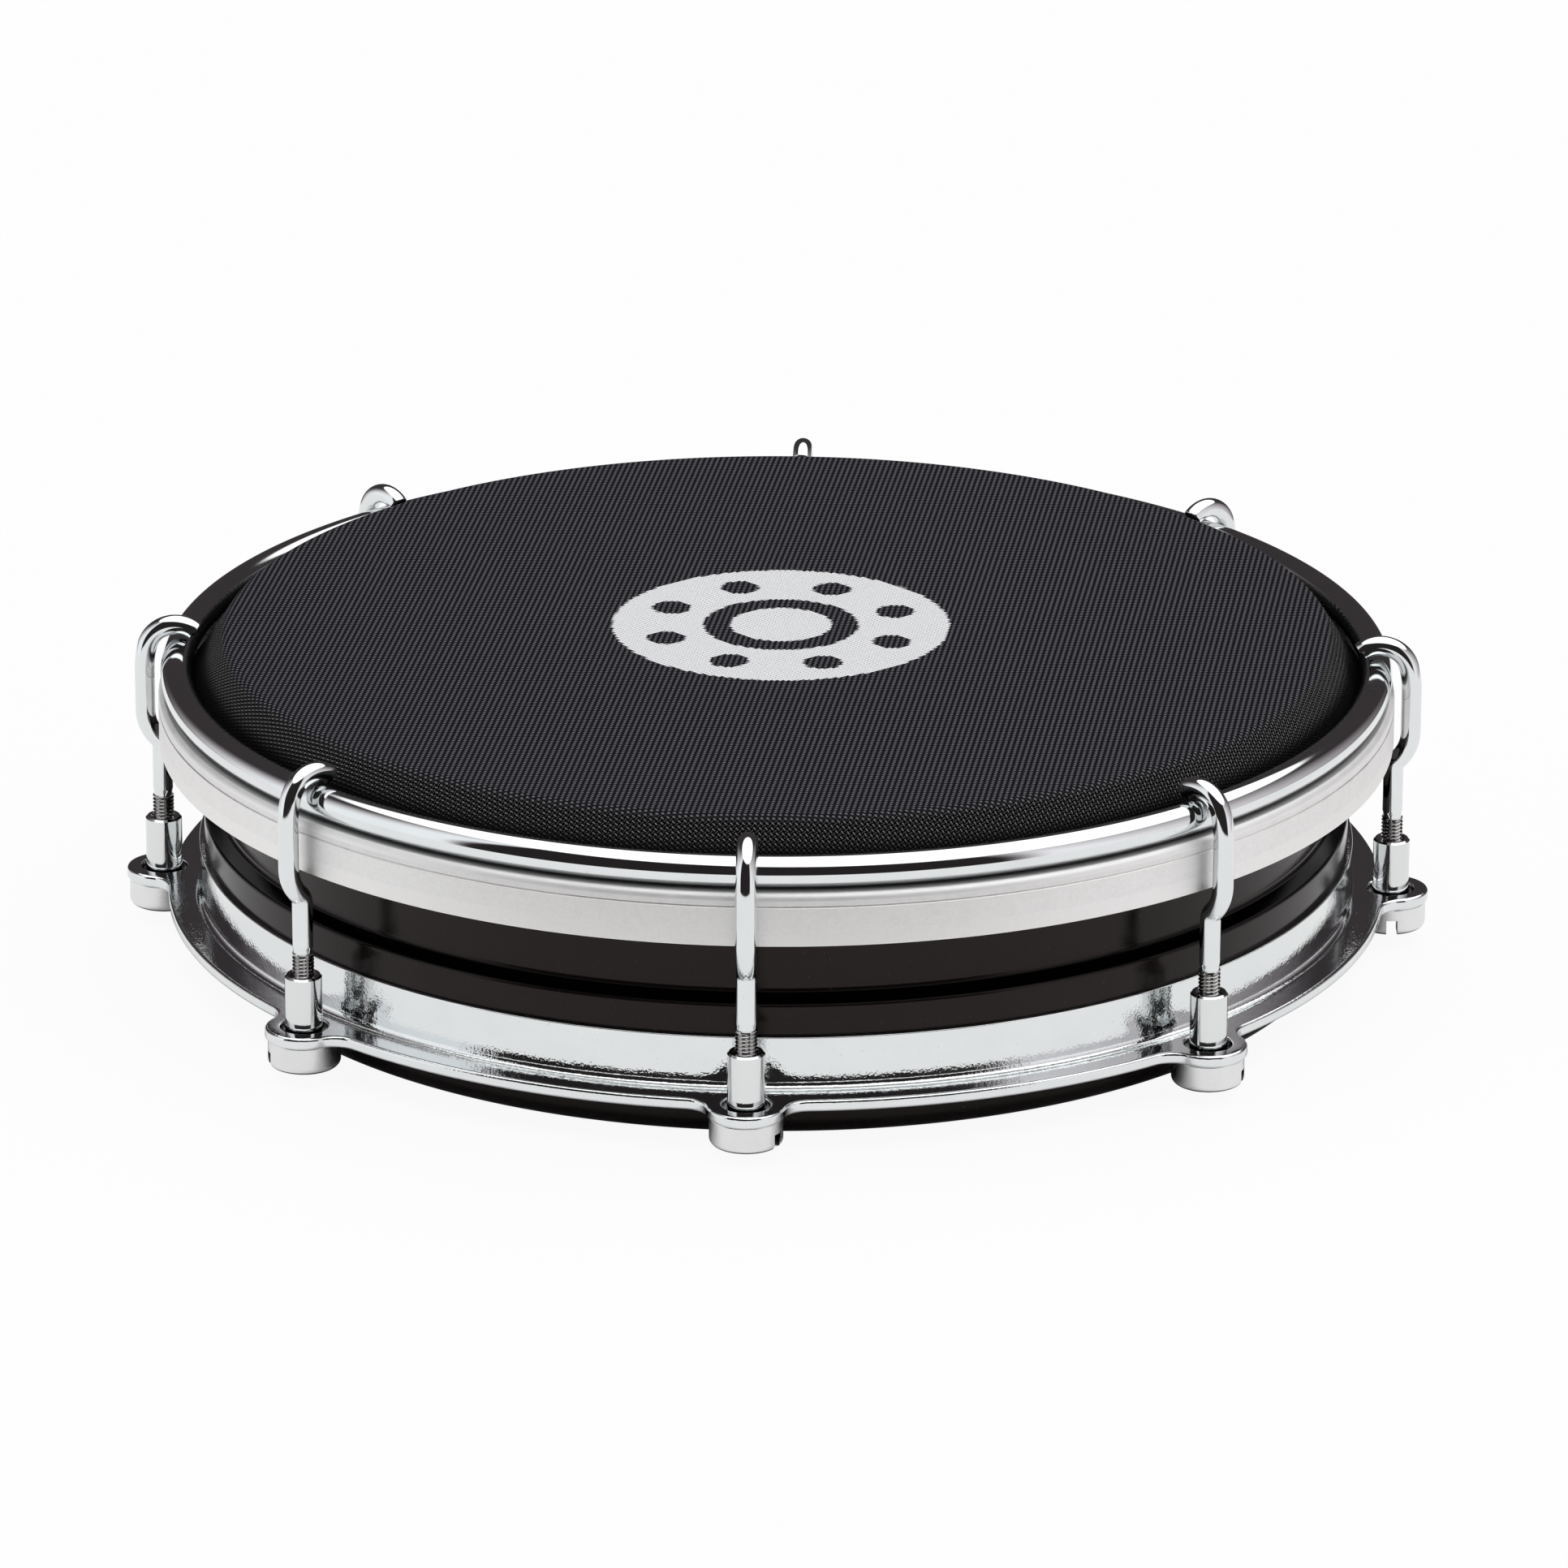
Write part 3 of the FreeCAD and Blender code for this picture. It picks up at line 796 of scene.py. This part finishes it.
def make_tension_ring(material):
    """Pressed ring: a turned wall and bend, and a flat flange with rounded edges and a hole for each nut."""
    floor = ring_low.z
    top = floor + ring_sheet
    inner = spigot_radius + ring_clearance
    outer = inner + ring_sheet
    seam = outer + ring_bend
    wall = rounded_section([
        (seam, floor, 0),
        (seam, top, 0),
        (outer, top, ring_bend),
        (outer, ring_high.z, ring_rim_round),
        (inner, ring_high.z, ring_rim_round),
        (inner, floor, ring_bend + ring_sheet),
    ])
    vertices, faces = turned(wall)
    count = len(wall)
    faces = [face for face in faces if face[0] % count != 0]
    upper = [[step * count + 1 for step in range(turn_steps)]]
    lower = [[step * count for step in range(turn_steps)]]

    def strips(rows):
        loops = []
        for row in rows:
            loops.append(range(len(vertices), len(vertices) + len(row)))
            vertices.extend(row)
        for first, second in zip(loops, loops[1:]):
            for step in range(len(first)):
                after = (step + 1) % len(first)
                faces.append((first[step], second[step], second[after], first[after]))
        upper.append(list(loops[0]))
        lower.append(list(loops[-1]))

    def upper_round(radius):
        """Steps (inset, level) from the upper face over a quarter round to the edge."""
        quarter = [math.radians(90 * step / edge_steps) for step in range(edge_steps + 1)]
        return [(radius * (1 - math.sin(angle)), top - radius * (1 - math.cos(angle))) for angle in quarter]

    edge = upper_round(flange_edge_round)
    edge += [(inset, floor + top - level) for inset, level in reversed(edge)]
    outline = flange_outline()
    strips([[(*(point - way * inset), level) for point, way in outline] for inset, level in edge])
    rims = [(lug_hole_radius + inset, level) for inset, level in upper_round(lug_hole_round)]
    rims.append((lug_hole_radius, floor))
    ways = [on_circle(1, -2 * math.pi * step / lug_hole_steps) for step in range(lug_hole_steps)]
    for index in range(lug_count):
        centre = on_circle(lug_circle_radius, at_lug(index))
        strips([[(*(centre + way * radius), level) for way in ways] for radius, level in rims])
    for loops, side in ((upper, 1), (lower, -1)):
        order = [vertex for loop in loops for vertex in loop]
        flat = [[Vector((*vertices[vertex][:2], 0)) for vertex in loop] for loop in loops]
        for triangle in tessellate_polygon(flat):
            corners = [order[corner] for corner in triangle]
            first, second, third = (Vector(vertices[corner][:2]) for corner in corners)
            turn = (second - first).cross(third - first) * side
            faces.append(corners if turn > 0 else corners[::-1])
    ring = new_object("ring_fine", vertices, faces, material, "chrome", "drum")
    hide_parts("tension_ring")


def hook_rows():
    """Rows along the hook in its lug's plane: place, heading, and the rod's radius for a turn about it."""

    def plain(value):
        return lambda turn: value

    def thread(level, depth):
        def radius(turn):
            wave = math.cos(2 * math.pi * level / thread_pitch - turn)
            return thread_radius - depth * (1 - wave) / 2
        return radius

    rows = []
    point = Vector((lug_circle_radius, hook_low.z))
    heading = math.pi / 2
    thread_length = thread_top - hook_low.z
    steps = round(thread_length / thread_pitch * thread_rows_per_turn)
    for step in range(steps + 1):
        rise = thread_length * step / steps
        turns_to_end = min(step, steps - step) / thread_rows_per_turn
        depth = thread_depth * min(1, turns_to_end + thread_end_share)
        rows.append((point + Vector((0, rise)), heading, thread(rise, depth)))
    neck_foot = Vector((lug_circle_radius, thread_top))
    for rise, radius in neck_rows:
        rows.append((neck_foot + Vector((0, rise)), heading, plain(radius)))

    upright = -hook_low.y - rod_radius
    lead_in = hook_lead_bend * (1 - math.cos(hook_lead_sweep))
    tight_bend = (hook_bend - lead_in) / math.cos(hook_lead_sweep)
    arc_rise = tight_bend + (hook_lead_bend - tight_bend) * math.sin(hook_lead_sweep)
    arc_level = hook_high.z - rod_radius - arc_rise
    bends = jog_lower_bend + jog_upper_bend
    inside = (bends - (upright - lug_circle_radius)) / math.hypot(bends, jog_slant)
    jog_turn = math.acos(inside) - math.atan2(jog_slant, bends)
    jog_rise = bends * math.sin(jog_turn) + jog_slant * math.cos(jog_turn)
    upright_length = arc_level - (shank_bottom + shank_length + jog_rise)
    point = Vector((lug_circle_radius, shank_bottom))
    rows.append((point, heading, plain(rod_radius)))
    legs = [
        (shank_length, 0),
        (jog_lower_bend, -jog_turn),
        (jog_slant, 0),
        (jog_upper_bend, jog_turn),
        (upright_length, 0),
        (hook_lead_bend, hook_lead_sweep),
        (tight_bend, hook_sweep - hook_lead_sweep),
    ]
    for size, sweep in legs:
        if sweep == 0:
            point = point + on_circle(size, heading)
            rows.append((point, heading, plain(rod_radius)))
            continue
        side = math.copysign(math.pi / 2, sweep)
        centre = point + on_circle(size, heading + side)
        steps = max(4, round(abs(sweep) / rod_bend_step))
        for step in range(1, steps + 1):
            angle = heading + sweep * step / steps
            rows.append((centre - on_circle(size, angle + side), angle, plain(rod_radius)))
        point, heading = rows[-1][:2]
    rows.pop()
    for degrees in (0, 30, 60, 90):
        angle = math.radians(degrees)
        back = on_circle(hook_tip_round * (1 - math.sin(angle)), heading)
        shrink = hook_tip_round * (1 - math.cos(angle))
        rows.append((point - back, heading, plain(rod_radius - shrink)))
    return rows


def make_hooks(material):
    """Each hook as one bent rod whose lower end carries a rolled thread."""
    rows = hook_rows()
    count = rod_sides
    last = (len(rows) - 1) * count
    faces = [list(reversed(range(count))), list(range(last, last + count))]
    for row in range(len(rows) - 1):
        for step in range(count):
            here = row * count + step
            after = row * count + (step + 1) % count
            faces.append((here, after, after + count, here + count))
    for index in range(lug_count):
        outwards = on_circle(1, at_lug(index)).to_3d()
        side = Vector((-outwards.y, outwards.x, 0))
        vertices = []
        for place, heading, radius in rows:
            ahead = on_circle(1, heading)
            centre = outwards * place.x + Vector((0, 0, place.y))
            across = outwards * ahead.y - Vector((0, 0, ahead.x))
            for step in range(count):
                turn = 2 * math.pi * step / count
                vertices.append(centre + (across * math.cos(turn) + side * math.sin(turn)) * radius(turn))
        hook = new_object(f"hook_fine_{index + 1}", vertices, faces, material, "chrome", f"hook_{index + 1}")
        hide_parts(f"tension_hook_{index + 1}")


def paint_nodes(looks):
    """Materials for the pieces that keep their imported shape."""
    for name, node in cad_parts.items():
        for start, look in looks.items():
            if name.startswith(start):
                node.data.materials.clear()
                node.data.materials.append(look)


def make_floor():
    """A pale floor: white to the camera but for the drum's shadow, and a lit table in the chrome."""
    seen_glow = 0.93
    mirrored_glow = 0.8
    made, nodes, shader = new_material("pale_floor", Base_Color=grey(0.9), Roughness=0.9)
    rays = nodes.add("LightPath").outputs
    mirrored = nodes.math("MAXIMUM", rays["Is Glossy Ray"], rays["Is Transmission Ray"])
    glow = nodes.add("Emission", {"Color": grey(1.0), "Strength": 1.0})
    reach = nodes.length(object_place(nodes))
    beside = nodes.math("MULTIPLY", mirrored, nodes.fade(reach, *table_start, 0.0, mirrored_glow))
    glow_part = nodes.math("MAXIMUM", nodes.math("MULTIPLY", rays["Is Camera Ray"], seen_glow), beside)
    lit = nodes.add("MixShader", {0: glow_part, 1: shader.outputs[0], 2: glow.outputs[0]})
    past_table = nodes.math("MULTIPLY", nodes.fade(reach, *table_end), mirrored)
    clear = nodes.add("BsdfTransparent")
    whole = nodes.add("MixShader", {0: past_table, 1: lit.outputs[0], 2: clear.outputs[0]})
    made.node_tree.links.new(whole.outputs[0], made.node_tree.nodes["Material Output"].inputs["Surface"])
    half = floor_half * MM
    corners = [(-half, -half, 0), (half, -half, 0), (half, half, 0), (-half, half, 0)]
    mesh = bpy.data.meshes.new("floor")
    mesh.from_pydata(corners, [], [(0, 1, 2, 3)])
    mesh.materials.append(made)
    floor = bpy.data.objects.new("floor", mesh)
    bpy.context.scene.collection.objects.link(floor)


def make_studio():
    """A ceiling of soft light, a tall soft light at each side and dim walls; the camera itself sees white."""
    world = bpy.data.worlds.new("studio")
    world.use_nodes = True
    bpy.context.scene.world = world
    nodes = Nodes(world.node_tree)
    way = nodes.add("TexCoord").outputs["Generated"]
    split = nodes.add("SeparateXYZ", {"Vector": way}).outputs
    ceiling = nodes.ramp(nodes.dot(way, ceiling_lean), *ceiling_edge)
    azimuth = nodes.math("ARCTAN2", split[0], nodes.math("MULTIPLY", split[1], -1))
    degrees = nodes.math("DEGREES", azimuth)
    narrowing = nodes.math("MULTIPLY", nodes.math("MAXIMUM", split[2], 0), lights_narrow_upwards)
    left_degrees = nodes.math("SUBTRACT", degrees, narrowing)
    right_degrees = nodes.math("ADD", degrees, narrowing)
    left_edges = (
        nodes.ramp(degrees, *left_light_front, 1, 0),
        nodes.ramp(left_degrees, *left_light_back),
    )
    right_edges = (
        nodes.ramp(degrees, *right_light_front),
        nodes.ramp(right_degrees, *right_light_back, 1, 0, "LINEAR"),
    )
    to_side = nodes.ramp(nodes.math("ABSOLUTE", degrees), *side_walls)
    walls = nodes.mix(to_side, grey(0.02, (1.1, 0.95, 0.95)), grey(0.042, (1.08, 0.93, 1.0)))
    edge_tint = (1.05, 0.95, 0.99)
    left_part = nodes.math("MULTIPLY", *left_edges)
    right_part = nodes.math("MULTIPLY", *right_edges)
    left_light = nodes.mix(left_part, grey(1.05, edge_tint), grey(1.05, (0.98, 1.0, 1.02)))
    right_light = nodes.mix(right_part, grey(1.02, edge_tint), grey(1.02, (1.01, 0.99, 1.02)))
    both_lit = nodes.mix(right_part, nodes.mix(left_part, walls, left_light), right_light)
    sky = nodes.mix(ceiling, both_lit, grey(1.6))
    rays = nodes.add("LightPath").outputs
    seen = nodes.mix(rays["Is Camera Ray"], sky, grey(1.0))
    nodes.set(world.node_tree.nodes["Background"].inputs["Color"], seen)


def make_camera():
    """The photograph's view: the camera's place and turn, from its distance, azimuth, elevation and roll."""
    data = bpy.data.cameras.new("camera")
    data.sensor_width = sensor_width
    data.lens = focal_pixels / photo_size * sensor_width
    data.clip_start = 0.05
    data.clip_end = 50
    camera = bpy.data.objects.new("camera", data)
    bpy.context.scene.collection.objects.link(camera)
    level = math.cos(camera_elevation)
    sine = math.sin(camera_azimuth)
    cosine = math.cos(camera_azimuth)
    back = Vector((sine * level, -cosine * level, math.sin(camera_elevation)))
    right = Matrix.Rotation(camera_roll, 3, back) @ Vector((cosine, sine, 0))
    place = back * camera_distance
    aim = right * aim_right + back.cross(right) * aim_up
    back = (place - aim).normalized()
    right = (right - back * right.dot(back)).normalized()
    turn = Matrix((right, back.cross(right), back)).transposed().to_4x4()
    camera.matrix_world = Matrix.Translation(place * MM) @ turn
    bpy.context.scene.camera = camera


polished = chrome("chrome_bar")
paint_nodes({"head_resin": dull_resin(), "tuning_nut": nut_chrome()})
make_shell(gloss_black())
make_tension_ring(chrome("chrome_sheet", peel=orange_peel))
make_head_hoop(satin_aluminium())
make_counter_hoop(polished)
make_hooks(chrome("chrome_hook", grime_below=thread_top))
make_head(woven_cloth())
make_floor()
make_studio()
make_camera()
bpy.context.scene.view_settings.view_transform = "Standard"
